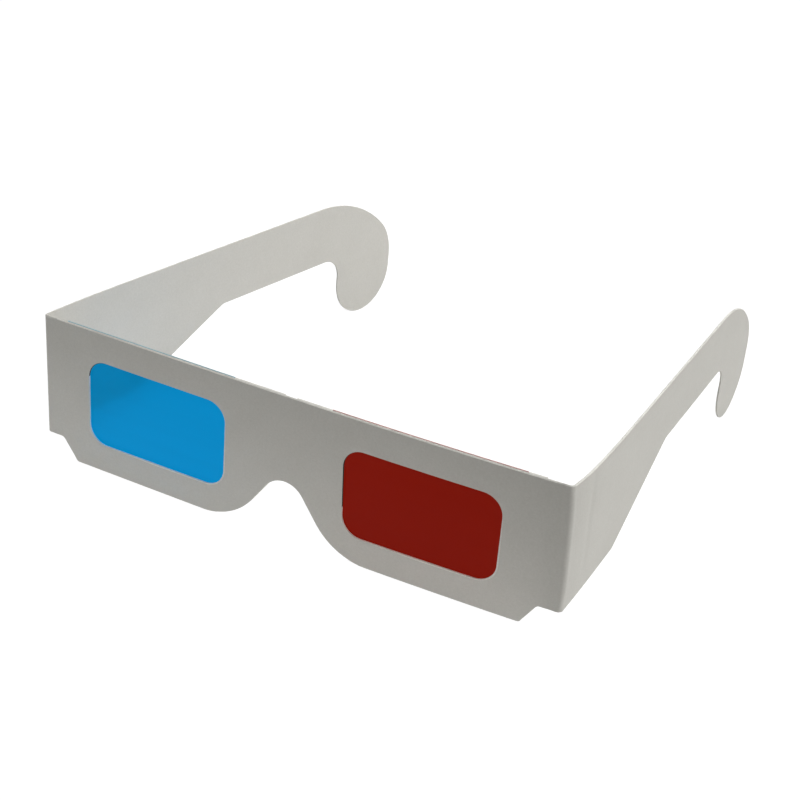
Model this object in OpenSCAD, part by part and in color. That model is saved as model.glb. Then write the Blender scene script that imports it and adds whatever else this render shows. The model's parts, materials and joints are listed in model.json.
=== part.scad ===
// Card 3D glasses with one cyan and one red film.
// One white card blank makes the front, the two flaps folded up behind it and the two temples.
// The glasses stand on the floor: X runs across the face, Y from the front back to the ear hooks, Z up.
// Left and right are the wearer's, so left is +X. The origin is at the middle of the footprint.

/* [Front] */
// Width across the outer faces of the temples at their creases
front_w = 133; // [126:0.5:145]
// Height of the front from its low edge to its top edge
front_h = 36.4; // [34:0.1:42]
// Height of the raised ends of the low edge, where the temples start
shoulder_h = 5.5; // [4:0.1:7]
// Distance from the middle to where the low edge starts to slant up
shoulder_in = 57.6; // [55:0.1:58.5]
// Distance from the middle to the top of that slant
shoulder_out = 61.8; // [59:0.1:62.5]

/* [Eye windows] */
// Width of an eye window
win_w = 37.2; // [33:0.1:39]
// Height of an eye window
win_h = 21.6; // [18:0.1:24]
// Radius of the window's corners
win_r = 4.8; // [2:0.1:8]
// Distance between the middles of the two windows
win_spacing = 68; // [66:0.5:70]
// How far the pair of windows was punched to the left of the blank's middle
win_shift = -0.7; // [-1.5:0.1:1.5]
// Height of the windows' middle above the low edge
win_z = 18.2; // [17:0.1:20]

/* [Nose notch] */
// Height of the top of the notch above the low edge
nose_h = 14.9; // [12:0.1:17]
// Radius of the round top of the notch
nose_top_r = 5.1; // [4:0.1:7]
// Radius of the flare where the notch runs out into the low edge
nose_flare_r = 15.8; // [12:0.1:17]
// Half the width of the notch where the flare meets the low edge
nose_half_w = 21.7; // [20:0.1:23]

/* [Card, film and glue] */
// Thickness of the card
card_t = 0.45; // [0.3:0.05:0.6]
// Thickness of the tinted film
film_t = 0.2; // [0.1:0.05:0.3]
// Thickness of one layer of glue
glue_t = 0.05; // [0.02:0.01:0.1]
// How far the film laps over the card at each end of the window
film_lap = 4.25; // [3.5:0.05:5]
// How far the film reaches below the window
film_low_lap = 2.75; // [2.5:0.05:4]
// How far the film stands proud of the front's top edge
film_proud = 0.15; // [0:0.05:0.5]
// How far outward of its window's middle the red film was laid
red_film_shift = 0.1; // [-1.5:0.1:1.5]
// How far outward of its window's middle the cyan film was laid
cyan_film_shift = 2.4; // [-2.5:0.1:2.5]
// How far the glue stays inside the film's outer edges
glue_inset = 1; // [0.5:0.1:2]
// How far the glue stays away from the window's edge
glue_margin = 1.5; // [0.8:0.1:2.5]

/* [Back flaps] */
// How far a flap reaches past the outer end of the film
flap_lap = 0.4; // [0.1:0.1:2]
// Gap between the two flaps at the middle of the bridge
flap_gap = 3; // [1:0.1:6]
// How far a flap's top edge lies below the front's top edge
flap_drop = 0.2; // [0.1:0.05:1]
// How much wider than the front's window the flap's window is, on each side
flap_win_margin = 0.4; // [0:0.1:1]

/* [Temples] */
// Length of a temple from its crease to the back of its ear hook
temple_l = 128; // [115:0.5:135]
// Height of the arm's lower edge above the floor
arm_z = 19.9; // [16:0.1:24]
// Distance from the crease to where the lower edge starts to rise
knee_front = 28.8; // [20:0.1:35]
// Distance from the crease to where the lower edge is level again
knee_back = 59.1; // [50:0.1:70]
// Width of the ear hook
hook_w = 22.7; // [18:0.1:26]
// Radius of the inner corner between the arm and the hook
crotch_r = 6.1; // [3:0.1:7]
// Distance from the hook's back edge to where the top edge starts to curve down
brow_back = 31.5; // [26:0.1:33]
// Radius of the curve from the top edge down to the back of the hook
brow_r = 38.6; // [33:0.1:42]
// Radius of the bend between that curve and the hook's back edge
rear_r = 14.8; // [8:0.1:18]

/* [Creases] */
// Gap between a temple that is folded flat and the back flap it lies on
fold_gap = 0.3; // [0.1:0.05:0.6]
// Running clearance between a crease bead and the card edges around it
crease_clear = 0.04; // [0.02:0.01:0.08]
// Fold angle of the left temple as it stands, from the flat blank
left_fold = 90; // [75:1:105]
// Fold angle of the right temple as it stands, from the flat blank
right_fold = 102; // [75:1:105]

/* [Hidden] */
$fn = 96;
eps = 0.01;

// Depths of the layers, measured back from the front's face
core_t = film_t + 2 * glue_t;
film_y = card_t + glue_t;
flap_y = card_t + core_t;
stack_t = 2 * card_t + core_t;

// The crease's axis lies behind the front, so that a temple folds flat over the flap
crease_r = (card_t + stack_t + fold_gap) / 2;
axis_x = front_w / 2 - crease_r;
bead_h = front_h - shoulder_h;
film_w = win_w + 2 * film_lap;
film_z = win_z - win_h / 2 - film_low_lap;
red_film_x = win_spacing / 2 + win_shift + red_film_shift;
cyan_film_x = win_spacing / 2 - win_shift + cyan_film_shift;
flap_end = max(red_film_x, cyan_film_x) + film_w / 2 + flap_lap;
depth = crease_r + temple_l * max(sin(left_fold), sin(right_fold));

// Round top and flare of the nose notch, joined by a straight side that all but touches both.
// Its ends, and the flare's foot, are sunk a little way in, so that the curves cross and don't just touch.
sink = 0.03;
flare_c = [nose_half_w, nose_flare_r - sink];
nose_rise = nose_h - flare_c.y;
nose_r = min(nose_top_r, (pow(nose_half_w, 2) + pow(nose_rise, 2) - pow(nose_flare_r, 2))
    / (2 * (nose_rise + nose_flare_r)));
nose_c = [0, nose_h - nose_r];
nose_turn = atan2(flare_c.y - nose_c.y, flare_c.x) + acos((nose_r + nose_flare_r) / norm(flare_c - nose_c));
nose_n = [cos(nose_turn), sin(nose_turn)];
nose_t = nose_c + (nose_r - sink) * nose_n;
flare_t = flare_c - (nose_flare_r - sink) * nose_n;

// Round end of the ear hook and the two curves that lead into its back edge
hook_in = temple_l - hook_w;
tip_r = hook_w / 2;
brow_s = temple_l - brow_back;
brow_fit_r = max(brow_r, brow_back + eps);
brow_c = [brow_s, front_h - brow_fit_r];
brow_end_z = brow_c.y + sqrt(pow(brow_fit_r, 2) - pow(brow_back, 2));
rear_c = [
    temple_l - rear_r,
    brow_c.y + sqrt(pow(brow_fit_r - rear_r, 2) - pow(brow_back - rear_r, 2))
];
rear_n = (rear_c - brow_c) / norm(rear_c - brow_c);
rear_t = brow_c + brow_fit_r * rear_n;
// Length by which a cut reaches outside the card
cut_out = 1;

card_white = [0.93, 0.93, 0.91];
edge_white = [0.86, 0.86, 0.83];
glue_white = [0.95, 0.94, 0.88];
film_cyan = [0.04, 0.55, 0.80, 0.6];
film_red = [0.60, 0.07, 0.05, 0.6];

// Moves the model so that the origin is at the middle of its footprint
module in_frame() {
    translate([0, -depth / 2, 0]) children();
}

// Flips a left piece over to the right side where side is -1
module on_side(side) {
    mirror([side < 0 ? 1 : 0, 0, 0]) children();
}

// Stands a flat outline up as a sheet that starts y0 behind the front's face
module sheet(y0, t) {
    translate([0, y0 + t, 0]) rotate([90, 0, 0]) linear_extrude(t) children();
}

// Axis of the left crease, with the temple's own frame turned to a fold angle
module at_crease(fold = 0) {
    translate([axis_x, crease_r, 0]) rotate(fold) children();
}

// Room that the crease bead needs in the edge of a card
module bead_room() {
    translate([0, 0, -cut_out]) cylinder(r = crease_r + crease_clear, h = front_h + 2 * cut_out);
}

module rounded_rect(w, h, r) {
    square([w - 2 * r, h], center = true);
    square([w, h - 2 * r], center = true);
    for (x = [-1, 1], z = [-1, 1]) {
        translate([x * (w / 2 - r), z * (h / 2 - r)]) circle(r);
    }
}

// Eye window of one side, with that side's outward direction along +X
module window(side, margin = 0) {
    translate([win_spacing / 2 + side * win_shift, win_z]) {
        rounded_rect(win_w + 2 * margin, win_h + 2 * margin, win_r + margin);
    }
}

// Nose notch: round top, straight sides and flares
module nose_notch() {
    side = [nose_t, flare_t, flare_c, [nose_half_w, -cut_out]];
    difference() {
        polygon(concat(side, [for (i = [len(side) - 1:-1:0]) [-side[i].x, side[i].y]]));
        for (x = [-1, 1]) translate([x * flare_c.x, flare_c.y]) circle(nose_flare_r);
    }
    translate(nose_c) circle(nose_r);
}

// Outline of the front above a level, between the two creases
module front_outline(low = 0) {
    slant = (shoulder_out - shoulder_in) / shoulder_h;
    side = [
        [shoulder_in + slant * low, low], [shoulder_out, shoulder_h],
        [axis_x, shoulder_h], [axis_x, front_h]
    ];
    difference() {
        polygon(concat(side, [for (i = [len(side) - 1:-1:0]) [-side[i].x, side[i].y]]));
        nose_notch();
    }
}

module front_panel() {
    color(card_white) in_frame() difference() {
        sheet(0, card_t) difference() {
            front_outline(stack_t / 2);
            window(1);
            mirror([1, 0]) window(-1);
        }
        at_crease() bead_room();
        on_side(-1) at_crease() bead_room();
    }
}

module back_flap(side) {
    color(card_white) in_frame() on_side(side) sheet(flap_y, card_t) difference() {
        intersection() {
            front_outline(stack_t / 2);
            translate([flap_gap / 2, 0]) square([flap_end - flap_gap / 2, front_h - flap_drop]);
        }
        window(side, flap_win_margin);
    }
}

// Round bend of card along the low edge, from the front to the flap, trimmed to the front's outline
module bottom_fold(side) {
    color(edge_white) in_frame() on_side(side) intersection() {
        sheet(-cut_out, stack_t + 2 * cut_out) front_outline();
        translate([flap_gap / 2, stack_t / 2, stack_t / 2]) rotate([90, 0, 90]) difference() {
            cylinder(r = stack_t / 2, h = front_w / 2);
            translate([0, 0, -cut_out]) cylinder(r = core_t / 2, h = front_w);
            translate([-stack_t, 0, -cut_out]) cube([2 * stack_t, stack_t, front_w]);
        }
    }
}

module film_shape(film_x, inset = 0) {
    translate([film_x - film_w / 2 + inset, film_z + inset]) {
        square([film_w - 2 * inset, front_h + film_proud - film_z - 2 * inset]);
    }
}

module film(side, film_x, tint) {
    color(tint) in_frame() on_side(side) sheet(film_y, film_t) difference() {
        film_shape(film_x);
        nose_notch();
    }
}

// Frame of glue around a window, between the film and one card
module glue_frame(side, film_x, y0) {
    color(glue_white) in_frame() on_side(side) sheet(y0, glue_t) difference() {
        film_shape(film_x, glue_inset);
        window(side, glue_margin);
    }
}

// Glue between the front and a flap in the bridge, beside the film
module bridge_glue(side, film_x) {
    pad_in = flap_gap / 2 + glue_inset;
    pad_out = film_x - film_w / 2 - glue_inset;
    pad_low = nose_h + glue_inset;
    color(glue_white) in_frame() on_side(side) sheet(card_t, core_t) {
        translate([pad_in, pad_low]) square([pad_out - pad_in, front_h - flap_drop - glue_inset - pad_low]);
    }
}

// Line of glue between the front and a flap, under the film
module lower_glue(side) {
    line_low = stack_t / 2 + glue_inset;
    line_top = film_z - glue_inset / 2;
    color(glue_white) in_frame() on_side(side) sheet(card_t, core_t) {
        translate([nose_half_w, line_low]) square([shoulder_in - nose_half_w, line_top - line_low]);
    }
}

module crease(side) {
    color(edge_white) in_frame() on_side(side) at_crease() {
        translate([0, 0, shoulder_h]) cylinder(r = crease_r, h = bead_h);
    }
}

// Flat outline of a temple: distance from the crease along X, height along Y
module temple_outline() {
    difference() {
        union() {
            polygon([
                [0, shoulder_h], [knee_front, shoulder_h], [knee_back, arm_z],
                [hook_in + tip_r, arm_z], [hook_in + tip_r, front_h], [0, front_h]
            ]);
            translate([hook_in, tip_r]) square([hook_w, front_h - tip_r]);
            translate([hook_in + tip_r, tip_r]) circle(tip_r);
            difference() {
                translate([hook_in - crotch_r, arm_z - crotch_r]) square(crotch_r + eps);
                translate([hook_in - crotch_r, arm_z - crotch_r]) circle(crotch_r);
            }
        }
        difference() {
            translate([brow_s, brow_end_z]) square([temple_l, front_h]);
            translate(brow_c) circle(brow_fit_r);
        }
        difference() {
            polygon([
                rear_c, rear_t, rear_t + cut_out * rear_n,
                [temple_l + cut_out, brow_end_z], [temple_l + cut_out, rear_c.y]
            ]);
            translate(rear_c) circle(rear_r);
        }
    }
}

module temple(side, fold) {
    color(card_white) in_frame() on_side(side) difference() {
        at_crease(fold) sheet(-crease_r, card_t) temple_outline();
        at_crease() bead_room();
    }
}

front_panel();
back_flap(1);  // left_back_flap
back_flap(-1);  // right_back_flap
bottom_fold(1);  // left_bottom_fold
bottom_fold(-1);  // right_bottom_fold
film(1, red_film_x, film_red);  // red_film
film(-1, cyan_film_x, film_cyan);  // cyan_film
glue_frame(1, red_film_x, card_t);  // left_front_glue
glue_frame(-1, cyan_film_x, card_t);  // right_front_glue
glue_frame(1, red_film_x, film_y + film_t);  // left_back_glue
glue_frame(-1, cyan_film_x, film_y + film_t);  // right_back_glue
bridge_glue(1, red_film_x);  // left_bridge_glue
bridge_glue(-1, cyan_film_x);  // right_bridge_glue
lower_glue(1);  // left_lower_glue
lower_glue(-1);  // right_lower_glue
crease(1);  // left_crease
crease(-1);  // right_crease
temple(1, left_fold);  // left_temple
temple(-1, right_fold);  // right_temple
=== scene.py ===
"""Card 3D glasses with one cyan and one red film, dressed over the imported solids.

Every surface is a grid of points worked out in the frame of the solids, in metres: X across the face
towards the wearer's left, Y from the front back to the ear hooks, Z up from the floor.
"""

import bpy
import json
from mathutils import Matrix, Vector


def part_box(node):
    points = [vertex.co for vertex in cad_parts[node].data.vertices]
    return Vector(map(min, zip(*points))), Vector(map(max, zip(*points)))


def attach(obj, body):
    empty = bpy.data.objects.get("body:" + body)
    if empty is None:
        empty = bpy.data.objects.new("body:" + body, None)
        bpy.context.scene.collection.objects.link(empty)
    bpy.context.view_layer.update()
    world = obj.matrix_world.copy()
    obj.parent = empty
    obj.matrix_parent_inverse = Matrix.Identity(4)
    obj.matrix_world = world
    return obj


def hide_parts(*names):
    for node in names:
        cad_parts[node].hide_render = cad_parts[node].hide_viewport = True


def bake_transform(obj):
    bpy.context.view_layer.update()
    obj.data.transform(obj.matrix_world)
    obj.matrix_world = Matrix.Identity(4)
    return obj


bl_info = {
    "name": "Card 3D glasses",
    "version": (1, 0, 0),
    "blender": (4, 5, 0),
    "location": "View3D > Sidebar > Card glasses",
    "description": "Builds folding card glasses with tinted film windows",
    "category": "Add Mesh",
}

import json

import bmesh
import bpy
import numpy as np
from mathutils import Matrix, Vector

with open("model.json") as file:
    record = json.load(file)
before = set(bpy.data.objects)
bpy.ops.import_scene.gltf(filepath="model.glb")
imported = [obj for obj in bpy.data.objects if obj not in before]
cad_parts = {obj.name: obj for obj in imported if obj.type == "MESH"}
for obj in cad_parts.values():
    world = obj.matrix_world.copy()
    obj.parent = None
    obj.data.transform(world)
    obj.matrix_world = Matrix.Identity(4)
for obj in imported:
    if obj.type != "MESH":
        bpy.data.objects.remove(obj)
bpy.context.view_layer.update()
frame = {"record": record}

# One millimetre, the distance under which two places are the same, and the distance over which points are
# welded
MM = 0.001
TOUCH = 1e-8
WELD = 2e-7

# Edges that turn by more degrees than this stay sharp
SHARP = 28

# Names of the sides and their signs along X
SIDES = {"left": 1, "right": -1}

# The two fold lines of the solids: each one's axis, and how far its temple is folded from the flat blank at
# rest
HINGES = {joint["child"]: joint for joint in frame["record"]["behaviour"]["joints"]}
AXIS_X, AXIS_Y, _ = HINGES["left_temple"]["pos_m"]
FOLDS = {side: -HINGES[side + "_temple"]["range_deg"][0] for side in SIDES}

# Level of the front's face and of its top, and how far the face stands before the fold lines
FACE_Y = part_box("front_panel")[0].y
TOP_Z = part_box("front_panel")[1].z
CREASE_R = AXIS_Y - FACE_Y

# How the front bends: how much the bow leans to the wearer's left, as a share of the bow; where the ends
# start to lean with their folds and where the left end starts to bulge, as shares of the fold line's x; and
# the height at which a leaning fold line stands in its place, as a share of the top's height
BOW_SKEW = 0.5
LEAN_FROM = 0.61
BULGE_FROM = 0.9
UPRIGHT_AT = 0.82

# How the card bends at a crease: by which share the corner's radius is smaller at the inner face, over
# which share of the curl's length a temple leaves the crease's line, and the power of the left temple's
# slow spring at its low edge
BEND_TAPER = 0.4
CURL_START = 0.12
SLOW_POWER = 1.6

# Depth of the score line at the low edge, as a share of its depth at the top
SCORE_LOW = 0.4

# The dent on the left temple, in shares of the top's height: where it starts, how far up it takes to be
# full, and how far below the top it starts to fade
DENT_FROM = 0.25
DENT_RISE = 0.4
DENT_FADE = 0.15

# How far each corner of the left (1) and right (-1) window was punched off its drawn place, in mm to the
# wearer's left and up: low corner near the nose, low corner near the fold, then the two high corners
WINDOW_SLIP = {
    1: ((0.25, -0.5), (-0.25, -0.25), (-0.5, -0.15), (0.0, -0.1)),
    -1: ((0.0, -0.15), (-0.45, -0.35), (0.0, 0.0), (-0.4, 0.0)),
}

# The part of each window's rim and cut wall that is painted dark as shade: its middle and its reach to both
# sides, in degrees round the window from the wearer's left over the top
PAINTED_SHADE_RIM = {1: (153, 48), -1: (133, 18)}

# Widths of the rim painted dark as shade and of the narrowest rim, as shares of the width of the pale rim,
# a painted highlight, and the depth to which a rim is pressed, as a share of the worn corner's width
PAINTED_SHADE_RIM_W = 1 / 3
LEAST_RIM_W = 0.05
RIM_DEPTH = 0.25

# Width of the worn corners of a film and of a glue pad, as a share of the thickness of the film or the core
THIN_WEAR = 1 / 8


def linear(code):
    """sRGB hex such as #D2D0CA as linear red, green, blue and an alpha of 1."""
    c = np.array([int(code[i:i + 2], 16) for i in (1, 3, 5)]) / 255
    c = np.where(c <= 0.04045, c / 12.92, ((c + 0.055) / 1.055) ** 2.4)
    return (*c.tolist(), 1.0)


def length(name, description, mm):
    """A length that a user may change, given in millimetres and kept in metres."""
    return bpy.props.FloatProperty(
        name=name, description=description, default=mm * MM, unit="LENGTH", precision=4)


def tint(name, description, code):
    """A colour that a user may change, given as sRGB hex and kept linear."""
    return bpy.props.FloatVectorProperty(
        name=name, description=description, default=linear(code), subtype="COLOR", size=4, min=0, max=1)


class CardGlassesSizes(bpy.types.PropertyGroup):
    """Sizes of the card, the films and the bends."""

    card_t: length("Card", "Thickness of the card", 0.45)
    stack_t: length("Front thickness", "Thickness of the two cards with film and glue between them", 1.2)
    core_t: length("Film and glue", "Room between the two cards of the front", 0.3)
    film_t: length("Film", "Thickness of a film", 0.2)
    chamfer: length("Edge wear", "Width of the worn corner along a cut edge", 0.06)
    # The pale rim takes the cut edge's colour and is widest where light catches a window's edge: a painted
    # highlight
    rim: length("Window rim", "Width of the pale pressed rim of a window", 0.35)
    top_wear: length("Top edge wear", "Width of the worn corner along the top edge", 0.2)
    lip: length("Film lip", "Height of the pale lip along the top edge of a film", 0.3)
    roll_r: length("Rolled edge", "Radius of the corners of the rolled low edge", 0.1)
    win_w: length("Window width", "Width of an eye window", 37.2)
    win_h: length("Window height", "Height of an eye window", 21.6)
    win_r: length("Window corner", "Radius of a window's corners", 4.8)
    win_spacing: length("Window spacing", "Distance between the middles of the windows", 68)
    win_shift: length("Window shift", "How far the windows were punched to the left of the middle", -0.7)
    win_z: length("Window level", "Height of the windows' middle above the low edge", 18.2)
    flap_margin: length("Flap window margin", "How much wider the flap's window is on each side", 0.4)
    glue_margin: length("Glue margin", "How far the glue stays away from a window", 1.5)
    nose_h: length("Notch height", "Height of the top of the nose notch", 14.9)
    nose_r: length("Notch top", "Radius of the top of the nose notch", 5.5)
    flare_r: length("Notch flare", "Radius of the flare at the foot of the nose notch", 16.4)
    flare_x: length("Notch half width", "Distance from the middle to the foot of the flare", 21.85)
    shoulder_h: length("Shoulder", "Height of the raised ends of the low edge", 5.5)
    shoulder_in: length("Shoulder start", "Where the low edge starts to slant up", 57.6)
    left_shoulder_out: length("Left shoulder end", "Where the slant ends on the left", 61.2)
    right_shoulder_out: length("Right shoulder end", "Where the slant ends on the right", 61.8)
    corner: length("Soft corner", "Length over which a cut corner is rounded", 0.6)
    knee: length("Soft knee", "Length over which a knee of the temple is rounded", 0.6)
    temple_l: length("Temple", "Length of a temple from its crease", 128)
    arm_z: length("Arm level", "Height of the arm's lower edge", 19.9)
    knee_front: length("Front knee", "Where the temple's lower edge starts to rise", 28.8)
    knee_back: length("Back knee", "Where the temple's lower edge is level again", 59.1)
    hook_w: length("Hook width", "Width of the ear hook", 22.7)
    crotch_r: length("Hook corner", "Radius between the arm and the hook", 6.1)
    brow_back: length("Brow", "Distance from the hook's back to the start of its top curve", 31.5)
    brow_r: length("Brow radius", "Radius of the hook's top curve", 38.6)
    rear_r: length("Rear radius", "Radius of the bend into the hook's back edge", 14.8)
    bow: length("Front bow", "How far the middle of the front bows forward", 1.08)
    left_curl: length("Left curl", "How far the left temple springs outward past its crease", 1.15)
    right_curl: length("Right curl", "How far the right temple springs outward past its crease", 0.97)
    left_curl_l: length("Left curl length", "Distance over which the left temple straightens", 5.3)
    right_curl_l: length("Right curl length", "Distance over which the right temple straightens", 9.5)
    left_lean: length("Left lean", "How far the left fold stands outward at the floor", 1.2)
    right_lean: length("Right lean", "How far the right fold stands outward at the floor", -0.42)
    crease_in: length("Crease strip", "Width of the front's end that belongs to a crease", 2.8)
    left_bend: length("Left bend", "Outer radius of the left crease", 1.2)
    right_bend: length("Right bend", "Outer radius of the right crease", 0.9)
    left_bulge: length("Left bulge", "How far the left fold line bulges outward halfway up", 0.35)
    lean_l: length("Lean length", "Distance over which a fold's lean dies away along its temple", 20)
    slow_l: length("Slow spring length", "Distance over which the left temple's low edge springs out", 18)
    groove: length("Score", "Depth of the score line before the left crease, at the top", 0.12)
    groove_in: length("Score place", "Distance from the left fold line to the score line", 1.45)
    groove_w: length("Score width", "Half width of the score line", 0.75)
    groove_end: length("Score end", "Distance over which the score line fades at its strip's ends", 0.3)
    dent: length("Dent", "Depth of the soft dent behind the left crease", 0.2)
    dent_in: length("Dent place", "Distance from the left fold line to the dent", 8.6)
    dent_w: length("Dent width", "Half width of the dent", 1.35)
    ripple: length("Film ripple", "Height of the waves in the stretched film", 0.03)


class CardGlassesColours(bpy.types.PropertyGroup):
    """Colours of the card, the films, the glue and the floor."""

    card: tint("Card", "Face of the white card", "#D6D4CE")
    card_shade: tint("Card shade", "Thin spots between the card's fibres", "#CCCAC3")
    # Partly the open fibres' own paler tone, partly a painted highlight for the light that catches cut
    # edges
    cut: tint("Cut edge", "Open fibres along a cut edge", "#F4F2EA")
    # Painted shade: a dark colour for the shade on part of a window's rim and cut wall
    painted_shade_cut: tint("Dark cut edge", "Cut edge of a window where the die left it dark", "#3A3630")
    cyan: tint("Cyan film", "White seen through the cyan film", "#04A6EE")
    red: tint("Red film", "White seen through the red film", "#931809")
    cyan_edge: tint("Cyan film edge", "Slit edge of the cyan film", "#C0DAE2")
    red_edge: tint("Red film edge", "Slit edge of the red film", "#ECC6C2")
    glue: tint("Glue", "Dried white glue", "#E8E4D6")
    floor: tint("Floor", "Pale paper floor", "#D8D8D6")


def arc(centre, radius, start, end, count=24):
    """Circle: centre + radius * (cos a, sin a), with a from start to end in degrees."""
    a = np.radians(np.linspace(start, end, count))
    return np.asarray(centre) + radius * np.column_stack([np.cos(a), np.sin(a)])


def soften(points, reach, count=9):
    """Corners of an open line rounded: the parabola (1-t)^2 A + 2t(1-t) P + t^2 B replaces each inner
    corner P, with A and B at the given reach before and after it."""
    p = np.asarray(points, float)
    before = p[:-2] - p[1:-1]
    after = p[2:] - p[1:-1]
    a = p[1:-1] + reach * before / np.linalg.norm(before, axis=1, keepdims=True)
    b = p[1:-1] + reach * after / np.linalg.norm(after, axis=1, keepdims=True)
    t = np.linspace(0, 1, count)[None, :, None]
    bend = (1 - t) ** 2 * a[:, None] + 2 * t * (1 - t) * p[1:-1, None] + t ** 2 * b[:, None]
    return np.vstack([p[:1], bend.reshape(-1, 2), p[-1:]])


def distinct(points):
    """The line without points that repeat the one before."""
    step = np.linalg.norm(np.diff(points, axis=0), axis=1)
    return points[np.append(True, step > TOUCH)]


def stations(points):
    """Length along the line at each of its points."""
    return np.append(0, np.cumsum(np.linalg.norm(np.diff(points, axis=0), axis=1)))


def along(points, at):
    """Points of the line at the given lengths along it."""
    s = stations(points)
    return np.column_stack([np.interp(at, s, points[:, 0]), np.interp(at, s, points[:, 1])])


def densify(loop, step, least=0.3):
    """Closed loop with its corners kept and further points at about the given step. A further point that
    lies nearer to a corner than the least share of a step is left out."""
    ring = distinct(np.vstack([loop, loop[:1]]))
    s = stations(ring)
    extra = np.arange(step, s[-1], step)
    extra = extra[np.abs(extra[:, None] - s[None, :]).min(axis=1) > least * step]
    return along(ring, np.sort(np.concatenate([s[:-1], extra])))


def clip(loop, axis, side, limit):
    """Closed loop cut by a level line: points with side * (p[axis] - limit) >= 0 stay, and each crossing
    adds one."""
    after = np.roll(loop, -1, axis=0)
    a = side * (loop[:, axis] - limit)
    b = side * (after[:, axis] - limit)
    cross = (a < -TOUCH) != (b < -TOUCH)
    t = np.where(cross, a / np.where(cross, a - b, 1), 0)[:, None]
    both = np.stack([loop, loop + t * (after - loop)], axis=1).reshape(-1, 2)
    return both[np.stack([a >= -TOUCH, cross], axis=1).reshape(-1)]


def inward(loop):
    """Unit normals of a closed loop, turned towards its middle."""
    run = np.roll(loop, -1, axis=0) - loop
    run /= np.linalg.norm(run, axis=1, keepdims=True)
    mean = run + np.roll(run, 1, axis=0)
    normal = np.column_stack([-mean[:, 1], mean[:, 0]])
    normal /= np.linalg.norm(normal, axis=1, keepdims=True)
    x, z = loop.T
    area = np.sum(x * np.roll(z, -1) - z * np.roll(x, -1))
    return normal * np.sign(area)


def rounded_reach(angle, half_w, half_h, radius):
    """Distance from the middle of a round-cornered rectangle to its edge along an angle: the nearer of the
    two straight sides, or the corner's circle where the ray meets neither side's straight part."""
    c = np.abs(np.cos(angle)) + TOUCH
    s = np.abs(np.sin(angle)) + TOUCH
    cx, cz = half_w - radius, half_h - radius
    reach = cx * c + cz * s
    corner = reach + np.sqrt(np.maximum(reach ** 2 - (cx ** 2 + cz ** 2 - radius ** 2), 0))
    return np.where(half_w / c * s <= cz, half_w / c, np.where(half_h / s * c <= cx, half_h / s, corner))


def sheet_loop(a, b, face, back, t, chamfer, rows, rim=None, wear=None):
    """Profiles across a sheet from its edge a to its edge b: up the face between its inner lines, over the
    cut edge at b, back down the other face and over the cut edge at a. Gives the places in the sheet, the
    depth behind its face and whether the strip that starts at each column is a cut edge. Rim and wear are
    the depths of the face's worn corners at a and at b."""
    one = np.ones((len(a), 1))
    rim = np.broadcast_to(chamfer if rim is None else rim, len(a))[:, None]
    wear = np.broadcast_to(chamfer if wear is None else wear, len(a))[:, None]
    w = np.linspace(0, 1, rows)[None, :, None]
    front, rear = (low[:, None] * (1 - w) + high[:, None] * w for low, high in (face, back))
    edge_a, edge_b = a[:, None], b[:, None]
    place = np.concatenate([edge_a, front, edge_b, edge_b, rear[:, ::-1], edge_a], axis=1)
    depth = np.hstack([rim, 0 * one.repeat(rows, 1), wear, (t - chamfer) * one, t * one.repeat(rows, 1),
                       (t - chamfer) * one])
    plain = np.append(np.zeros(rows - 1, int), 1)
    cut = np.concatenate([[1], plain, [1, 1], plain, [1]])
    return place, depth, cut


def raised(z, sizes):
    """Height as a share: 0 at the fold lines' low end and 1 at the top."""
    return np.clip((z - sizes.shoulder_h) / (TOP_Z - sizes.shoulder_h), 0, 1)


def smooth(share):
    """Smooth step of a share, held between 0 and 1: 3 f^2 - 2 f^3."""
    f = np.clip(share, 0, 1)
    return f ** 2 * (3 - 2 * f)


def leaning(z, lean):
    """How far a fold line stands outward at a height: lean * (1 - z / upright), so the other way near the
    top."""
    return lean * (1 - z / (UPRIGHT_AT * TOP_Z))


def bulging(z, sizes):
    """How far the left fold line bulges outward at a height: bulge * (1 - (2 r - 1)^4), with r the height
    as a share."""
    return sizes.left_bulge * (1 - (2 * raised(z, sizes) - 1) ** 4)


def fold_out(z, side, sizes):
    """How far a fold line stands outward at a height, by its lean and, on the left, its bulge."""
    if side > 0:
        return leaning(z, sizes.left_lean) + bulging(z, sizes)
    return leaning(z, sizes.right_lean)


def bent(x, y, z):
    """Points of the flat front as points of the bent one. The front bows forward by bow * (1 - q^2) * (1 +
    skew * q), with q = x over the fold line's x, so that the bow is fullest a little to the wearer's left
    of the bridge. Each end leans with its fold line by a smooth step over the last part of the front, and
    the left fold's bulge dies away in the same way over a shorter part."""
    sizes = bpy.context.scene.card_glasses_sizes
    q = np.clip(x / AXIS_X, -1, 1)
    lean = leaning(z, np.where(q > 0, sizes.left_lean, -sizes.right_lean))
    lean = lean * smooth((np.abs(q) - LEAN_FROM) / (1 - LEAN_FROM))
    bulge = bulging(z, sizes) * smooth((q - BULGE_FROM) / (1 - BULGE_FROM))
    bow = sizes.bow * (1 - q ** 2) * (1 + BOW_SKEW * q)
    return np.stack([x + lean + bulge, y - bow, z], axis=-1)


def on_front(place, depth, side):
    """Places in the front's plane and depths behind its face as points of the bent front."""
    x = side * place[..., 0]
    return bent(x, FACE_Y + np.broadcast_to(depth, x.shape), place[..., 1])


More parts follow.
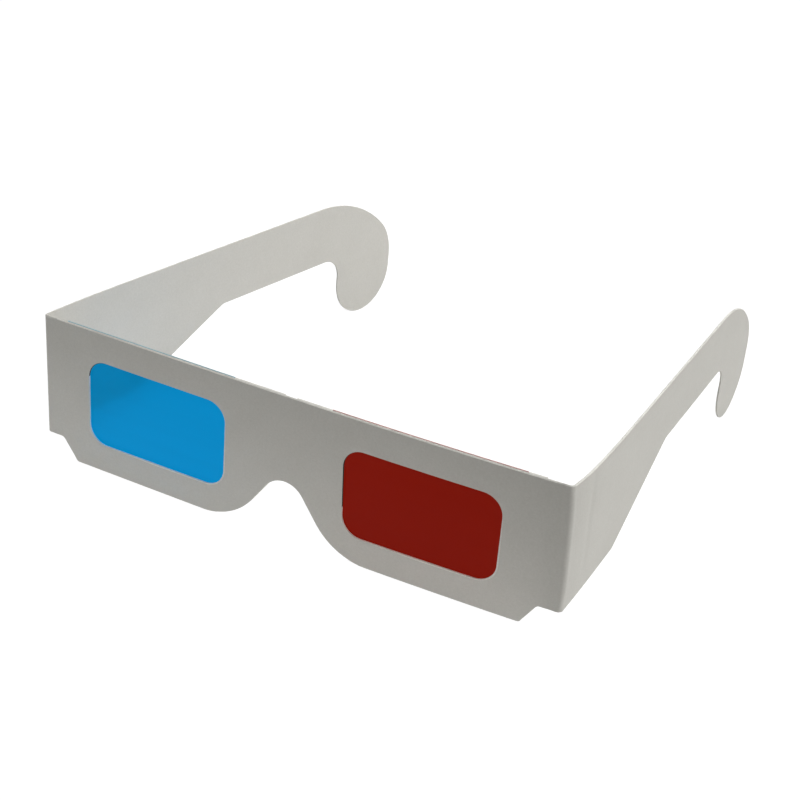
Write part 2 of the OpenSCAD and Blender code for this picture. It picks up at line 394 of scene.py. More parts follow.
def piece(name, grids, cuts, ends, materials, body=None, node=None):
    """One closed mesh from grids of closed profiles: grid[i, j] is point j of profile i, and its cut gives
    the material of each strip. The last profile joins the first where ends is None; otherwise ends lists
    the profiles, 0 or -1, that get an end face. Faces in the middle plane are left out, so that mirrored
    halves join there."""
    closed = ends is None
    points, faces, marks, caps = [], [], [], []
    start = 0
    for grid, cut in zip(grids, cuts):
        nu, nv = grid.shape[:2]
        index = start + np.arange(nu * nv).reshape(nu, nv)
        ahead = np.roll(index, -1, axis=0) if closed else index[1:]
        here = index if closed else index[:-1]
        quads = np.stack([here, np.roll(here, -1, axis=1), np.roll(ahead, -1, axis=1), ahead], axis=-1)
        faces.append(quads.reshape(-1, 4))
        marks.append(np.broadcast_to(cut, here.shape).reshape(-1))
        caps += [index[end].tolist() for end in ends or ()]
        points.append(grid.reshape(-1, 3))
        start += nu * nv
    points, faces, marks = np.vstack(points), np.vstack(faces), np.concatenate(marks)
    outside = (np.abs(points[faces][..., 0]) > TOUCH).any(axis=1)
    mesh = bpy.data.meshes.new(name)
    mesh.from_pydata(points.tolist(), [], faces[outside].tolist() + caps)
    for material in materials:
        mesh.materials.append(material)
    last = len(materials) - 1
    mesh.polygons.foreach_set("material_index", np.concatenate(
        [np.minimum(marks[outside], last), np.full(len(caps), min(last, 1))]).astype(np.int32))
    shell = bmesh.new()
    shell.from_mesh(mesh)
    bmesh.ops.remove_doubles(shell, verts=shell.verts, dist=WELD)
    bmesh.ops.dissolve_degenerate(shell, edges=shell.edges, dist=WELD)
    bmesh.ops.recalc_face_normals(shell, faces=shell.faces)
    if any(not edge.is_manifold for edge in shell.edges):
        raise RuntimeError(name + " isn't closed")
    shell.to_mesh(mesh)
    shell.free()
    mesh.shade_smooth()
    mesh.set_sharp_from_angle(angle=np.radians(SHARP))
    obj = bpy.data.objects.new(name, mesh)
    bpy.context.scene.collection.objects.link(obj)
    if body:
        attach(obj, body)
    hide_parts(node)
    return obj


def half_outline(sizes, side):
    """Closed outline of one half of the front, drawn as a left one: down the middle to the notch, the
    notch's top, its straight side and its flare, the low edge, the slanted shoulder, the fold line and the
    top edge. Both halves share their points in the middle, because the outline starts there. The notch's
    straight side touches both its circles."""
    flare = np.array([sizes.flare_x, sizes.flare_r])
    top = np.array([0, sizes.nose_h - sizes.nose_r])
    gap = flare - top
    tangent = np.arccos((sizes.nose_r + sizes.flare_r) / np.linalg.norm(gap))
    turn = np.degrees(np.arctan2(gap[1], gap[0]) + tangent)
    shoulder_out = sizes.left_shoulder_out if side > 0 else sizes.right_shoulder_out
    shoulder = soften([
        (sizes.flare_x, 0), (sizes.shoulder_in, 0), (shoulder_out, sizes.shoulder_h),
        (AXIS_X, sizes.shoulder_h)], sizes.corner)
    return distinct(np.vstack([
        [(0, TOP_Z)], arc(top, sizes.nose_r, 90, turn), arc(flare, sizes.flare_r, 180 + turn, 270),
        shoulder, [(AXIS_X, TOP_Z)]]))


def window_plate(sizes, side, outline, margin, t, seams, pressed=False, step_mm=0.6, rows=7):
    """Sheet with an eye window: profiles along rays from the window's middle, each from the window's edge
    to the outline. Along a seam, a pair of axis and level, the edge has no worn corner, so that the next
    piece joins it. A pressed sheet has a worn top edge and a rim round its window in the pale colour of a
    cut edge, widest low and on the wearer's left as a painted highlight; high on the wearer's right its rim
    and cut wall are painted dark as shade, from where that tapers away. The corners' slip is mixed by the
    place across and up the window."""
    middle = np.array([sizes.win_spacing / 2 + side * sizes.win_shift, sizes.win_z])
    edge = densify(outline, step_mm * MM)
    top = pressed & (edge[:, 1] > TOP_Z - TOUCH)
    wear = np.where(top, sizes.top_wear, sizes.chamfer)
    plain = np.full(len(edge), sizes.chamfer)
    face_edge, back_edge = (edge + w[:, None] * inward(edge) for w in (wear, plain))
    for axis, level in seams:
        held = np.abs(edge[:, axis] - level) < TOUCH
        face_edge[held, axis] = back_edge[held, axis] = level
    ray = edge - middle
    angle = np.arctan2(ray[:, 1], ray[:, 0])
    reach = rounded_reach(angle, sizes.win_w / 2 + margin, sizes.win_h / 2 + margin, sizes.win_r + margin)
    way = np.column_stack([np.cos(angle), np.sin(angle)])
    spot = reach[:, None] * way / (sizes.win_w / 2, sizes.win_h / 2)
    turn = np.arctan2(spot[:, 1], side * spot[:, 0])
    # Painted shade: 1 in the middle of the listed part of the rim and 0 at its reach; there rim and cut
    # wall turn dark
    painted_shade_at, painted_shade_reach = PAINTED_SHADE_RIM[side]
    painted_shade = np.clip(1 - np.abs((np.degrees(turn) - painted_shade_at + 180) % 360 - 180) / painted_shade_reach, 0, 1)
    # Painted highlight: the pale rim is widest low and on the wearer's left, where light catches the
    # window's edge
    painted_highlight = np.clip(np.cos(turn) - np.sin(turn), 0, 1)
    share = np.maximum(np.maximum(painted_highlight, PAINTED_SHADE_RIM_W * painted_shade), LEAST_RIM_W)
    rim = sizes.rim * share if pressed else plain
    across, up = (0.5 + 0.5 * spot).T[..., None]
    corners = np.array(WINDOW_SLIP[side]) * (side * MM, MM)
    low_slip = (1 - across) * corners[0] + across * corners[1]
    high_slip = (1 - across) * corners[2] + across * corners[3]
    slip = (1 - up) * low_slip + up * high_slip
    hole, face_hole, back_hole = (
        middle + slip + (reach + w)[:, None] * way for w in (np.zeros(len(edge)), rim, plain))
    place, depth, cut = sheet_loop(
        hole, edge, (face_hole, face_edge), (back_hole, back_edge), t, sizes.chamfer, rows,
        np.minimum(rim, RIM_DEPTH * sizes.chamfer), wear)
    cut = np.tile(cut, (len(edge), 1))
    # Rim strip and cut wall take the dark material, painted shade, wherever the shade mask is above 0
    cut[np.ix_(pressed & (painted_shade > 0), [0, -1])] = 2
    return place, depth, cut


def slab_grid(low, high, t, chamfer, ripple=0.0, lip=None, columns=48, rows=24):
    """Strip on the bent front, from its flat box: profiles up the strip at even steps across. Its depth has
    waves of the given height, sin(7 p + 4 q) + 0.6 sin(13 q - 5 p + 1) with p and q from 0 to 1 across and
    up the strip, which die away at its edges as 16 p (1 - p) q (1 - q). A lip is a taller cut strip along
    the top."""
    x = np.linspace(low.x, high.x, columns)
    line = np.column_stack([x, np.full(columns, low.z)])
    top = np.column_stack([x, np.full(columns, high.z)])
    up = np.array([0, chamfer])
    down = up if lip is None else np.array([0, lip])
    inner = (line + up, top - down)
    place, depth, cut = sheet_loop(line, top, inner, inner, t, chamfer, rows)
    p = (place[..., 0] - low.x) / (high.x - low.x)
    q = (place[..., 1] - low.z) / (high.z - low.z)
    fade = 16 * p * (1 - p) * q * (1 - q)
    wave = np.sin(7 * p + 4 * q) + 0.6 * np.sin(13 * q - 5 * p + 1)
    return bent(place[..., 0], low.y + depth + ripple * fade * wave, place[..., 1]), cut


def temple_edges(sizes, count=(16, 34, 10, 16, 16, 14, 30, 8, 40)):
    """Lower and upper edge of the flat temple at matching steps, each from the crease to the bottom of the
    hook. Keys on both edges are paired, and between two keys the count gives the steps, which are even
    along each edge. The first two keys after the crease gather steps where the card curls most."""
    tip_r = sizes.hook_w / 2
    hook_in = sizes.temple_l - sizes.hook_w
    tip = (hook_in + tip_r, tip_r)
    crotch = (hook_in - sizes.crotch_r, sizes.arm_z - sizes.crotch_r)
    brow = np.array([sizes.temple_l - sizes.brow_back, TOP_Z - sizes.brow_r])
    drop = np.sqrt((sizes.brow_r - sizes.rear_r) ** 2 - (sizes.brow_back - sizes.rear_r) ** 2)
    rear = np.array([sizes.temple_l - sizes.rear_r, brow[1] + drop])
    meet = np.degrees(np.arctan2(*(rear - brow)[::-1]))
    low = distinct(np.vstack([
        soften([(0, sizes.shoulder_h), (sizes.knee_front, sizes.shoulder_h), (sizes.knee_back, sizes.arm_z),
                (crotch[0], sizes.arm_z)], sizes.knee),
        arc(crotch, sizes.crotch_r, 90, 0), arc(tip, tip_r, 180, 270, 48)]))
    top = distinct(np.vstack([
        [(0, TOP_Z)], arc(brow, sizes.brow_r, 90, meet, 48), arc(rear, sizes.rear_r, meet, 0),
        arc(tip, tip_r, 0, -90, 48)]))
    first, second = 2 * MM, 14 * MM
    low_arm = 0.6 * sizes.knee_back + 0.4 * crotch[0]
    top_arm = 0.5 * (sizes.knee_back + brow[0])
    low_keys = [
        (0, 0), (first, sizes.shoulder_h), (second, sizes.shoulder_h), (sizes.knee_front, sizes.shoulder_h),
        (sizes.knee_back, sizes.arm_z), (low_arm, sizes.arm_z), (crotch[0], sizes.arm_z),
        (hook_in, crotch[1]), (hook_in, tip_r), (tip[0], 0)]
    top_keys = [
        (0, TOP_Z), (first, TOP_Z), (second, TOP_Z), (sizes.knee_front, TOP_Z),
        (sizes.knee_back, TOP_Z), (top_arm, TOP_Z), (brow[0], TOP_Z),
        (sizes.temple_l, rear[1]), (sizes.temple_l, tip_r), (tip[0], 0)]

    def steps(line, keys, fineness=3000):
        """Points along the line at the counted steps between the places nearest to its keys."""
        fine = np.union1d(stations(line), np.linspace(0, stations(line)[-1], fineness))
        nearest = np.linalg.norm(along(line, fine)[None] - np.asarray(keys)[:, None], axis=2).argmin(axis=1)
        at = np.interp(np.arange(sum(count) + 1), np.append(0, np.cumsum(count)), fine[nearest])
        return along(line, at)

    return steps(low, low_keys), steps(top, top_keys)


def edge_in(line, chamfer, side):
    """The line moved sideways by the width of a worn corner."""
    run = np.gradient(line, axis=0)
    run /= np.linalg.norm(run, axis=1, keepdims=True)
    return line + side * chamfer * np.column_stack([-run[:, 1], run[:, 0]])


def bend_radius(sizes, side, depth):
    """Radius of a crease's corner at a depth behind the card's face: smaller towards its inner face."""
    bend = sizes.left_bend if side > 0 else sizes.right_bend
    return bend * (1 - BEND_TAPER * depth / sizes.card_t)


def eased(run, r, fillet):
    """How far a rounded corner lies below a flat face that passes a fold line at a distance r, at a run
    along that face from the fold line: fillet - sqrt(fillet^2 - gap^2), with gap = fillet - r - run where
    that is above 0."""
    gap = np.maximum(fillet - r - run, 0)
    return fillet - np.sqrt(fillet ** 2 - gap ** 2)


def on_temple(place, depth, side, fold, curl, curl_l, sizes):
    """Places in the flat temple as points: s along the temple, turned about the fold line, and the face at
    the crease's radius, less the end of the crease's round corner, plus curl * (1 - exp(-s / l)) * s / (s +
    start * l), which starts in line with the crease. A fold's lean dies away as exp(-(s / lean length)^2).
    The left temple springs out more slowly towards its low edge, as 1 - exp(-(s / slow length)^power), and
    has a soft dent, a bell in s that fades out towards both edges."""
    a = np.radians(fold)
    s, z = place[..., 0], place[..., 1]
    spring = (1 - np.exp(-s / curl_l)) * s / (s + CURL_START * curl_l)
    dent = 0
    if side > 0:
        rise = raised(z, sizes)
        spring = rise * spring + (1 - rise) * (1 - np.exp(-(s / sizes.slow_l) ** SLOW_POWER))
        level = z / TOP_Z
        high = np.clip((level - DENT_FROM) / DENT_RISE, 0, 1) * np.clip((1 - level) / DENT_FADE, 0, 1)
        dent = sizes.dent * high * np.exp(-((s - sizes.dent_in) / sizes.dent_w) ** 2)
    r = CREASE_R - depth
    corner = eased(s, r, bend_radius(sizes, side, depth))
    lean = fold_out(z, side, sizes) * np.exp(-(s / sizes.lean_l) ** 2)
    out = r - corner + curl * spring + lean - dent
    x = AXIS_X + s * np.cos(a) + out * np.sin(a)
    y = AXIS_Y + s * np.sin(a) - out * np.cos(a)
    return np.stack([side * x, y, z], axis=-1)


def corner_reach(turn, fold, r, fillet):
    """Distance from the fold line to a rounded corner between two faces, each at a distance r from that
    line: r over the cosine of the angle from the nearer face's normal, or the fillet's circle, whose middle
    lies on the bisector."""
    half = np.radians(fold / 2)
    t = np.radians(np.minimum(turn, fold - turn))
    d = (r - fillet) / np.cos(half)
    circle = d * np.cos(half - t) + np.sqrt(np.maximum(fillet ** 2 - (d * np.sin(half - t)) ** 2, 0))
    return np.where(np.tan(t) > d * np.sin(half) / r, circle, r / np.cos(t))


def crease_grid(sizes, side, fold, steps=72, flat=48, rows=16):
    """Bend of the card, at its outer and inner face: a flat strip of the front's end, then the corner about
    the fold line to the temple's plane. Scoring left a soft groove before the left corner: a bell across
    the strip's outer face, deepest at the top."""
    low, high, c = sizes.shoulder_h, TOP_Z, sizes.chamfer
    z = np.concatenate([[low], np.linspace(low + c, high - sizes.top_wear, rows), [high]])[:, None]
    worn = np.where((z == low) | (z == high), c, 0)
    worn_face = np.where(z == high, sizes.top_wear, worn)
    strip_x = np.linspace(AXIS_X - sizes.crease_in, AXIS_X, flat)[:-1]
    bell = np.exp(-((strip_x - AXIS_X + sizes.groove_in) / sizes.groove_w) ** 2)
    ends = np.clip(np.minimum(strip_x - strip_x[0], AXIS_X - strip_x) / sizes.groove_end, 0, 1)
    score = (side > 0) * sizes.groove * (SCORE_LOW + (1 - SCORE_LOW) * raised(z, sizes)) * bell * ends

    def profile(depth, score):
        """Points across the strip and round the corner, at a depth behind the card's face."""
        r = CREASE_R - depth
        fillet = bend_radius(sizes, side, depth)
        sunk = depth + score + eased(AXIS_X - strip_x, r, fillet)
        flat_x, flat_z = np.broadcast_arrays(strip_x, z)
        strip = bent(side * flat_x, FACE_Y + sunk, flat_z)
        turn = np.linspace(0, fold, steps)[None]
        a = np.radians(turn)
        reach = corner_reach(turn, fold, r, fillet)
        x = AXIS_X + fold_out(z, side, sizes) + reach * np.sin(a)
        y = AXIS_Y - reach * np.cos(a)
        corner = np.stack([side * x, y, np.broadcast_to(z, x.shape)], axis=-1)
        return np.concatenate([strip, corner], axis=1)

    outer = profile(worn_face, score)
    inner = profile(sizes.card_t - worn, 0)
    return np.concatenate([outer, inner[:, ::-1]], axis=1)


def fold_grid(sizes, side, columns=120, steps=72):
    """Rolled low edge: a pressed, round-cornered outer profile and a half circle of the core's radius about
    one line, carried along the low edge between the notch's flare and the shoulder, whose outline gives
    both ends at each height."""
    outline = half_outline(sizes, side)
    a = np.radians(np.linspace(180, 360, steps))
    half = sizes.stack_t / 2
    ring = np.append(rounded_reach(a, half, half, sizes.roll_r), np.full(steps, sizes.core_t / 2))
    a = np.append(a, a[::-1])
    y = sizes.stack_t / 2 + ring * np.cos(a)
    z = np.maximum(sizes.stack_t / 2 + ring * np.sin(a), 0)
    low = outline[:, 1].argmin()
    flare = outline[:low + 1][::-1]
    flare = flare[flare[:, 0] > sizes.nose_r]
    slant = outline[:, 0] >= sizes.shoulder_in - sizes.corner - TOUCH
    shoulder = outline[slant & (outline[:, 1] < sizes.shoulder_h)]
    start = np.interp(z, flare[:, 1], flare[:, 0])
    end = np.interp(z, shoulder[:, 1], shoulder[:, 0])
    u = np.linspace(0, 1, columns)[:, None]
    x = side * (start * (1 - u) + end * u)
    return bent(x, np.broadcast_to(FACE_Y + y, x.shape), np.broadcast_to(z, x.shape))


# Colour sockets of a Mix node: its inputs for a factor of 0 and of 1, and its output
MIX_FROM = 6
MIX_TO = 7
MIX_OUT = 2


def add(tree, kind, inputs=None, **settings):
    """Adds a node with its settings. An input's value is a constant, the socket that is linked to it, or
    the node whose first output is."""
    made = tree.nodes.new(kind)
    for key, value in settings.items():
        setattr(made, key, value)
    for key, value in (inputs or {}).items():
        source = value.outputs[0] if isinstance(value, bpy.types.Node) else value
        if isinstance(source, bpy.types.NodeSocket):
            tree.links.new(source, made.inputs[key])
        else:
            made.inputs[key].default_value = source
    return made


def new_material(name):
    """Empty node material, its tree and the socket of its Object coordinates."""
    material = bpy.data.materials.new(name)
    material.use_nodes = True
    material.node_tree.nodes.clear()
    tree = material.node_tree
    return material, tree, add(tree, "ShaderNodeTexCoord").outputs["Object"]


def per_metre(mm):
    """Noise scale whose blobs are about that many millimetres across."""
    return 1 / (mm * MM)


def dimmed(colour, share):
    """The colour with a share of its light."""
    return (*(share * c for c in colour[:3]), 1.0)


def card_material(name, light, shade, fibre_mm, relief_mm, rough):
    """Bleached card: matt, with a faint cloudiness where the pulp lies thicker and fine fibres that break
    up the sheen. Real fibres are about 0.03 mm wide; they are drawn as bundles that still show in the
    render."""
    material, tree, place = new_material(name)
    cloud = add(tree, "ShaderNodeTexNoise", {
        "Vector": place, "Scale": per_metre(9), "Detail": 2, "Roughness": 0.5})
    fibre = add(tree, "ShaderNodeTexNoise", {
        "Vector": place, "Scale": per_metre(fibre_mm), "Detail": 4, "Roughness": 0.7, "Distortion": 0.6})
    both = add(tree, "ShaderNodeMath", {0: cloud, 1: 0.25, 2: fibre}, operation="MULTIPLY_ADD")
    spread = add(tree, "ShaderNodeMapRange", {"Value": both, "From Min": 0.4, "From Max": 0.85})
    colour = add(tree, "ShaderNodeMix", {
        "Factor": spread, MIX_FROM: tuple(shade), MIX_TO: tuple(light)}, data_type="RGBA")
    matt = add(tree, "ShaderNodeMapRange", {
        "Value": fibre, "To Min": rough - 0.08, "To Max": rough + 0.08})
    bump = add(tree, "ShaderNodeBump", {"Height": fibre, "Strength": 0.35, "Distance": relief_mm * MM})
    shader = add(tree, "ShaderNodeBsdfPrincipled", {
        "Base Color": colour.outputs[MIX_OUT], "Roughness": matt, "Normal": bump,
        "IOR": 1.45, "Specular IOR Level": 0.35})
    add(tree, "ShaderNodeOutputMaterial", {"Surface": shader})
    return material


def film_material(name, colour):
    """Dyed polyester film, drawn and calendered: clear with a slight haze, with faint lines of deeper dye
    along the web and soft waves from being glued only round its edge. An index near 1 keeps what is seen
    through the film in its place."""
    material, tree, place = new_material(name)
    web = add(tree, "ShaderNodeMapping", {"Vector": place, "Scale": (0.05, 1, 1)})
    lines = add(tree, "ShaderNodeTexNoise", {"Vector": web, "Scale": per_metre(2.5), "Detail": 2})
    dye = add(tree, "ShaderNodeMix", {
        "Factor": lines, MIX_FROM: dimmed(colour, 0.93), MIX_TO: tuple(colour)}, data_type="RGBA")
    waves = add(tree, "ShaderNodeTexNoise", {"Vector": place, "Scale": per_metre(14), "Detail": 1})
    bump = add(tree, "ShaderNodeBump", {"Height": waves, "Strength": 0.15, "Distance": 0.3 * MM})
    shader = add(tree, "ShaderNodeBsdfPrincipled", {
        "Base Color": dye.outputs[MIX_OUT], "Normal": bump, "Roughness": 0.3, "IOR": 1.1,
        "Transmission Weight": 1.0})
    add(tree, "ShaderNodeOutputMaterial", {"Surface": shader})
    return material


def glue_material(name, colour):
    """Brushed white glue, dried: slightly yellow, half matt, with the small swells that the brush left."""
    material, tree, place = new_material(name)
    swell = add(tree, "ShaderNodeTexNoise", {"Vector": place, "Scale": per_metre(1.5), "Detail": 3})
    coat = add(tree, "ShaderNodeMix", {
        "Factor": swell, MIX_FROM: dimmed(colour, 0.9), MIX_TO: tuple(colour)}, data_type="RGBA")
    bump = add(tree, "ShaderNodeBump", {"Height": swell, "Strength": 0.4, "Distance": 0.05 * MM})
    shader = add(tree, "ShaderNodeBsdfPrincipled", {
        "Base Color": coat.outputs[MIX_OUT], "Normal": bump, "Roughness": 0.45, "IOR": 1.48})
    add(tree, "ShaderNodeOutputMaterial", {"Surface": shader})
    return material


def card_finishes():
    """The card's pressed face, its open cut edge and the cut edge painted dark as shade, made once."""
    colours = bpy.context.scene.card_glasses_colours
    face, cut, painted_shade = ("bleached_card_" + end for end in ("calendered", "die_cut", "die_cut_painted_shade"))
    if bpy.data.materials.get(face) is None:
        card_material(face, colours.card, colours.card_shade, fibre_mm=0.5, relief_mm=0.03, rough=0.62)
        card_material(cut, colours.cut, colours.card, fibre_mm=0.25, relief_mm=0.05, rough=0.85)
        # The dark copy of the cut edge's material: painted shade for the window rims
        card_material(painted_shade, colours.painted_shade_cut, colours.painted_shade_cut, fibre_mm=0.25, relief_mm=0.05, rough=0.85)
    return [bpy.data.materials[name] for name in (face, cut, painted_shade)]


# Lamps: name, place, the point that it is turned to, width and height in metres, and power in watts
LAMPS = (
    ("side_softbox", (2.1, 0.3, 1.0), (0, 0, 0.02), 1.4, 1.4, 28.8),
    ("top_softbox", (-0.2, -0.3, 2.0), (0, 0, 0), 1.4, 1.4, 7.9),
    ("inner_lamp", (0.05, 0.03, 0.3), (-0.05, 0.02, 0.02), 0.1, 0.1, 0.377),
    ("front_fill", (-0.32, -0.3, 0.22), (0, -0.06, 0.02), 0.2, 0.2, 0.15),
    ("floor_bounce", (-0.033, -0.084, 0.00003), (-0.033, -0.084, 1), 0.2, 0.044, 0.0146),
)

# Strength of the even light all round, where it isn't seen
AMBIENT = 0.05

# Floor where it is seen: its own glow directly and through film, and the grey that takes the lamps' light
# and shadows
FLOOR_GLOW = 0.97
FILMED_GLOW = 0.54
FLOOR_GREY = (0.15, 0.15, 0.15, 1)

# Camera: width of its sensor and focal length in millimetres, its place, and its turns in degrees, the last
# one first
SENSOR = 36
FOCAL = 74.56
CAMERA_PLACE = (0.15297, -0.34085, 0.20869)
CAMERA_TURNS = ((24.71, "Z"), (61.507, "X"), (5.286, "Z"))


class BuildFront(bpy.types.Operator):
    """Builds the front panel: two mirrored halves that share the middle of the bridge."""

    bl_idname = "card_glasses.front"
    bl_label = "Front panel"

    def execute(self, context):
        sizes = context.scene.card_glasses_sizes
        low = sizes.stack_t / 2
        seam = AXIS_X - sizes.crease_in
        halves, cuts = [], []
        for side in SIDES.values():
            outline = clip(clip(half_outline(sizes, side), 1, 1, low), 0, -1, seam)
            place, depth, cut = window_plate(
                sizes, side, outline, 0, sizes.card_t, [(0, 0), (0, seam), (1, low)], pressed=True)
            halves.append(on_front(place, depth, side))
            cuts.append(cut)
        piece("front_card", halves, cuts, None, card_finishes(), "front", "front_panel")
        return {"FINISHED"}


class BuildFlaps(bpy.types.Operator):
    """Builds the two flaps behind the films: the front's outline cut short at the bridge, the end and the
    top."""

    bl_idname = "card_glasses.flaps"
    bl_label = "Back flaps"

    def execute(self, context):
        sizes = context.scene.card_glasses_sizes
        level = sizes.stack_t / 2
        for name, side in SIDES.items():
            low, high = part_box(name + "_back_flap")
            near, far = sorted((abs(low.x), abs(high.x)))
            outline = clip(half_outline(sizes, side), 1, 1, level)
            outline = clip(clip(clip(outline, 0, 1, near), 0, -1, far), 1, -1, high.z)
            place, depth, cut = window_plate(
                sizes, side, outline, sizes.flap_margin, sizes.card_t, [(1, level)])
            grid = on_front(place, depth + low.y - FACE_Y, side)
            piece(name + "_flap_card", [grid], [cut], None, card_finishes(), "front", name + "_back_flap")
        return {"FINISHED"}


class BuildFolds(bpy.types.Operator):
    """Builds the rolled low edges between the front and its flaps."""

    bl_idname = "card_glasses.folds"
    bl_label = "Bottom folds"

    def execute(self, context):
        sizes = context.scene.card_glasses_sizes
        for name, side in SIDES.items():
            grid = fold_grid(sizes, side)
            cut = np.zeros(grid.shape[1], int)
            node = name + "_bottom_fold"
            piece(name + "_rolled_edge", [grid], [cut], (0, -1), card_finishes(), "front", node)
        return {"FINISHED"}


class BuildFilms(bpy.types.Operator):
    """Builds the two tinted films, held between the cards."""

    bl_idname = "card_glasses.films"
    bl_label = "Films"

    def execute(self, context):
        sizes = context.scene.card_glasses_sizes
        colours = context.scene.card_glasses_colours
        for slot, colour, edge in (
                ("cyan_film", colours.cyan, colours.cyan_edge),
                ("red_film", colours.red, colours.red_edge)):
            low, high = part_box(slot)
            wear = THIN_WEAR * sizes.film_t
            grid, cut = slab_grid(low, high, sizes.film_t, wear, sizes.ripple, sizes.lip)
            name = "dyed_polyester_film_" + slot.split("_")[0]
            slit = card_material(name + "_slit", edge, edge, fibre_mm=0.3, relief_mm=0.01, rough=0.4)
            finishes = [film_material(name, colour), slit]
            piece(slot + "_sheet", [grid], [cut], (0, -1), finishes, "front", slot)
        return {"FINISHED"}


class BuildGlue(bpy.types.Operator):
    """Builds the glue: a frame on each side of each film, a pad in the bridge and a line under the film."""

    bl_idname = "card_glasses.glue"
    bl_label = "Glue"

    def execute(self, context):
        sizes = context.scene.card_glasses_sizes
        coat = [glue_material("white_glue_brushed", context.scene.card_glasses_colours.glue)]
        for name, side in SIDES.items():
            for layer in ("front", "back"):
                node = f"{name}_{layer}_glue"
                low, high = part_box(node)
                near, far = sorted((abs(low.x), abs(high.x)))
                outline = np.array([(near, low.z), (far, low.z), (far, high.z), (near, high.z)])
                place, depth, cut = window_plate(
                    sizes, side, outline, sizes.glue_margin, high.y - low.y, [], step_mm=1.2, rows=4)
                depth = np.clip(depth, 0, high.y - low.y) + low.y - FACE_Y
                grid = on_front(place, depth, side)
                piece(node + "_frame", [grid], [cut], None, coat, "front", node)
            for layer in ("bridge", "lower"):
                node = f"{name}_{layer}_glue"
                low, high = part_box(node)
                wear = THIN_WEAR * sizes.core_t
                grid, cut = slab_grid(low, high, high.y - low.y, wear, columns=40, rows=10)
                piece(node + "_pad", [grid], [cut], (0, -1), coat, "front", node)
        return {"FINISHED"}


class BuildCreases(bpy.types.Operator):
    """Builds the two scored bends, at the fold of the temples at rest."""

    bl_idname = "card_glasses.creases"
    bl_label = "Creases"

    def execute(self, context):
        sizes = context.scene.card_glasses_sizes
        for name, side in SIDES.items():
            fold = FOLDS[name]
            grid = crease_grid(sizes, side, fold)
            cut = np.zeros(grid.shape[1], int)
            bend = piece(name + "_bend", [grid], [cut], (0, -1), card_finishes(), None, name + "_crease")
            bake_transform(bend)
        return {"FINISHED"}


class BuildTemples(bpy.types.Operator):
    """Builds the two temples with their ear hooks. The top edge's wear tapers away at the bottom of the
    hook."""

    bl_idname = "card_glasses.temples"
    bl_label = "Temples"

    def execute(self, context):
        sizes = context.scene.card_glasses_sizes
        low, top = temple_edges(sizes)
        taper_steps = 12
        wear = np.interp(np.arange(len(top))[::-1], [0, taper_steps], [sizes.chamfer, sizes.top_wear])
        low_in = edge_in(low, sizes.chamfer, 1)
        top_face, top_back = edge_in(top, wear[:, None], -1), edge_in(top, sizes.chamfer, -1)
        low_in[-1] = top_face[-1] = top_back[-1] = low[-1] + (0, sizes.chamfer)
        face, back = (low_in, top_face), (low_in, top_back)
        place, depth, cut = sheet_loop(
            low, top, face, back, sizes.card_t, sizes.chamfer, rows=14, wear=wear)
        for name, curl, curl_l in (
                ("left", sizes.left_curl, sizes.left_curl_l),
                ("right", sizes.right_curl, sizes.right_curl_l)):
            grid = on_temple(place, depth, SIDES[name], FOLDS[name], curl, curl_l, sizes)
            piece(name + "_arm", [grid], [cut], (0,), card_finishes(), name + "_temple", name + "_temple")
        return {"FINISHED"}


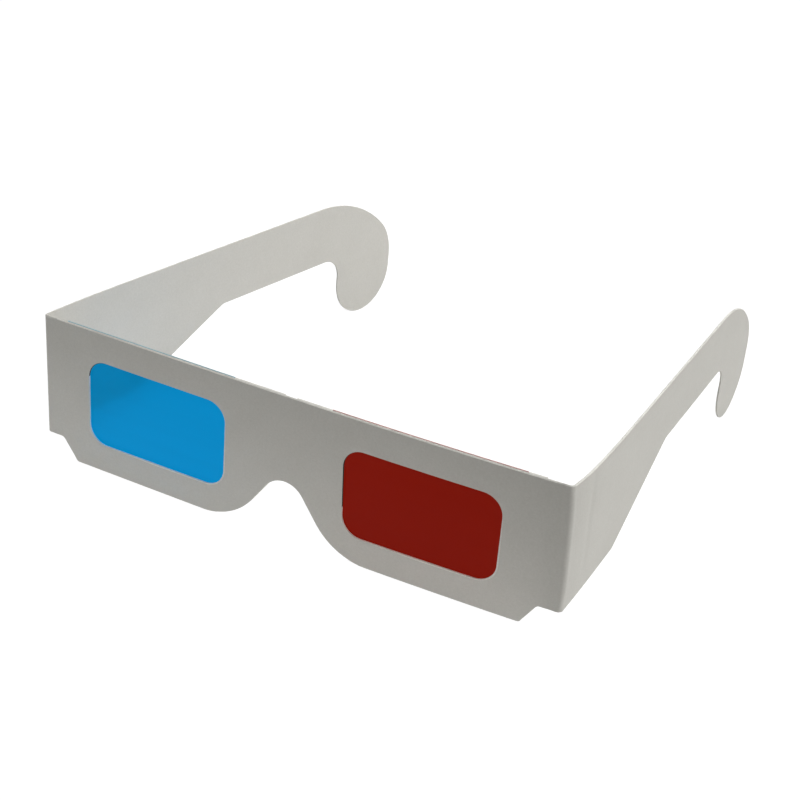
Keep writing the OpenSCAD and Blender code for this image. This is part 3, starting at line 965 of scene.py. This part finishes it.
class BuildStage(bpy.types.Operator):
    """Sets up the pale floor, the soft lamps, the white surroundings and the camera."""

    bl_idname = "card_glasses.stage"
    bl_label = "Stage"

    def execute(self, context):
        scene = context.scene
        scene.view_settings.view_transform = "Standard"
        self.floor(scene)
        self.world(scene)
        for lamp in LAMPS:
            self.lamp(scene, *lamp)
        self.camera(scene)
        return {"FINISHED"}

    def floor(self, scene):
        """Paper floor: white with the object's faint shadow where it is seen, and dimmer through film."""
        material, tree, place = new_material("white_paper_sweep")
        colour = tuple(scene.card_glasses_colours.floor)
        grain = add(tree, "ShaderNodeTexNoise", {"Vector": place, "Scale": per_metre(2), "Detail": 2})
        bump = add(tree, "ShaderNodeBump", {"Height": grain, "Strength": 0.05, "Distance": 0.02 * MM})
        path, seen = self.seen_ray(tree)
        paper = add(tree, "ShaderNodeBsdfDiffuse", {"Color": colour, "Normal": bump})
        shade = add(tree, "ShaderNodeBsdfDiffuse", {"Color": FLOOR_GREY, "Normal": bump})
        shine = add(tree, "ShaderNodeMapRange", {
            "Value": path.outputs["Is Transmission Ray"], "To Min": FLOOR_GLOW, "To Max": FILMED_GLOW})
        glow = add(tree, "ShaderNodeEmission", {"Strength": shine})
        lit = add(tree, "ShaderNodeAddShader", {0: shade, 1: glow})
        white = add(tree, "ShaderNodeMixShader", {"Fac": seen, 1: paper, 2: lit})
        add(tree, "ShaderNodeOutputMaterial", {"Surface": white})
        mesh = bpy.data.meshes.new("floor")
        half, low = 4.0, -0.05 * MM
        corners = [(-half, -half, low), (half, -half, low), (half, half, low), (-half, half, low)]
        mesh.from_pydata(corners, [], [(0, 1, 2, 3)])
        mesh.materials.append(material)
        floor = bpy.data.objects.new("floor", mesh)
        scene.collection.objects.link(floor)

    def seen_ray(self, tree):
        """The light path, and 1 for a ray that the camera sees directly, in gloss or through film."""
        path = add(tree, "ShaderNodeLightPath")
        seen = add(tree, "ShaderNodeMath", {
            0: path.outputs["Is Camera Ray"], 1: path.outputs["Is Glossy Ray"]}, operation="MAXIMUM")
        clear = add(tree, "ShaderNodeMath", {
            0: seen, 1: path.outputs["Is Transmission Ray"]}, operation="MAXIMUM")
        return path, clear

    def world(self, scene):
        """Even soft light all round, white where it is seen."""
        world = bpy.data.worlds.new("studio")
        world.use_nodes = True
        tree = world.node_tree
        tree.nodes.clear()
        strength = add(tree, "ShaderNodeMapRange", {
            "Value": self.seen_ray(tree)[1], "To Min": AMBIENT, "To Max": 1.0})
        sky = add(tree, "ShaderNodeBackground", {"Color": (1, 1, 1, 1), "Strength": strength})
        add(tree, "ShaderNodeOutputWorld", {"Surface": sky})
        scene.world = world

    def lamp(self, scene, name, place, aim, width, height, power):
        """Soft lamp of the given width and height, turned to a point and not seen itself."""
        data = bpy.data.lights.new(name, "AREA")
        data.shape, data.size, data.size_y, data.energy = "RECTANGLE", width, height, power
        lamp = bpy.data.objects.new(name, data)
        lamp.location = place
        lamp.rotation_euler = (Vector(aim) - Vector(place)).to_track_quat("-Z", "Y").to_euler()
        lamp.visible_camera = False
        scene.collection.objects.link(lamp)

    def camera(self, scene):
        """Camera in front of the wearer's left temple, looking down at the glasses."""
        data = bpy.data.cameras.new("camera")
        data.sensor_width, data.lens = SENSOR, FOCAL
        camera = bpy.data.objects.new("camera", data)
        place = Matrix.Translation(CAMERA_PLACE)
        for degrees, axis in CAMERA_TURNS:
            place @= Matrix.Rotation(np.radians(degrees), 4, axis)
        camera.matrix_world = place
        scene.collection.objects.link(camera)
        scene.camera = camera


BUILDERS = (
    BuildFront, BuildFlaps, BuildFolds, BuildFilms, BuildGlue, BuildCreases, BuildTemples, BuildStage)


class CardGlassesPanel(bpy.types.Panel):
    """Lists the sizes, the colours and the pieces."""

    bl_idname = "VIEW3D_PT_card_glasses"
    bl_label = "Card glasses"
    bl_space_type = "VIEW_3D"
    bl_region_type = "UI"
    bl_category = "Card glasses"

    def draw(self, context):
        """Draws one row for each size, colour and builder."""
        column = self.layout.column()
        for group in (context.scene.card_glasses_sizes, context.scene.card_glasses_colours):
            for name in group.bl_rna.properties.keys():
                if name not in ("rna_type", "name"):
                    column.prop(group, name)
        for builder in BUILDERS:
            column.operator(builder.bl_idname)


CLASSES = (CardGlassesSizes, CardGlassesColours, *BUILDERS, CardGlassesPanel)


def register():
    """Registers the classes and gives the scene its sizes and colours."""
    for cls in CLASSES:
        bpy.utils.register_class(cls)
    bpy.types.Scene.card_glasses_sizes = bpy.props.PointerProperty(type=CardGlassesSizes)
    bpy.types.Scene.card_glasses_colours = bpy.props.PointerProperty(type=CardGlassesColours)


def unregister():
    """Takes the sizes, the colours and the classes away again."""
    del bpy.types.Scene.card_glasses_sizes
    del bpy.types.Scene.card_glasses_colours
    for cls in reversed(CLASSES):
        bpy.utils.unregister_class(cls)


def main():
    """Builds every piece and the stage."""
    register()
    ops = bpy.ops.card_glasses
    ops.front()
    ops.flaps()
    ops.folds()
    ops.films()
    ops.glue()
    ops.creases()
    ops.temples()
    ops.stage()


if __name__ == "__main__":
    main()
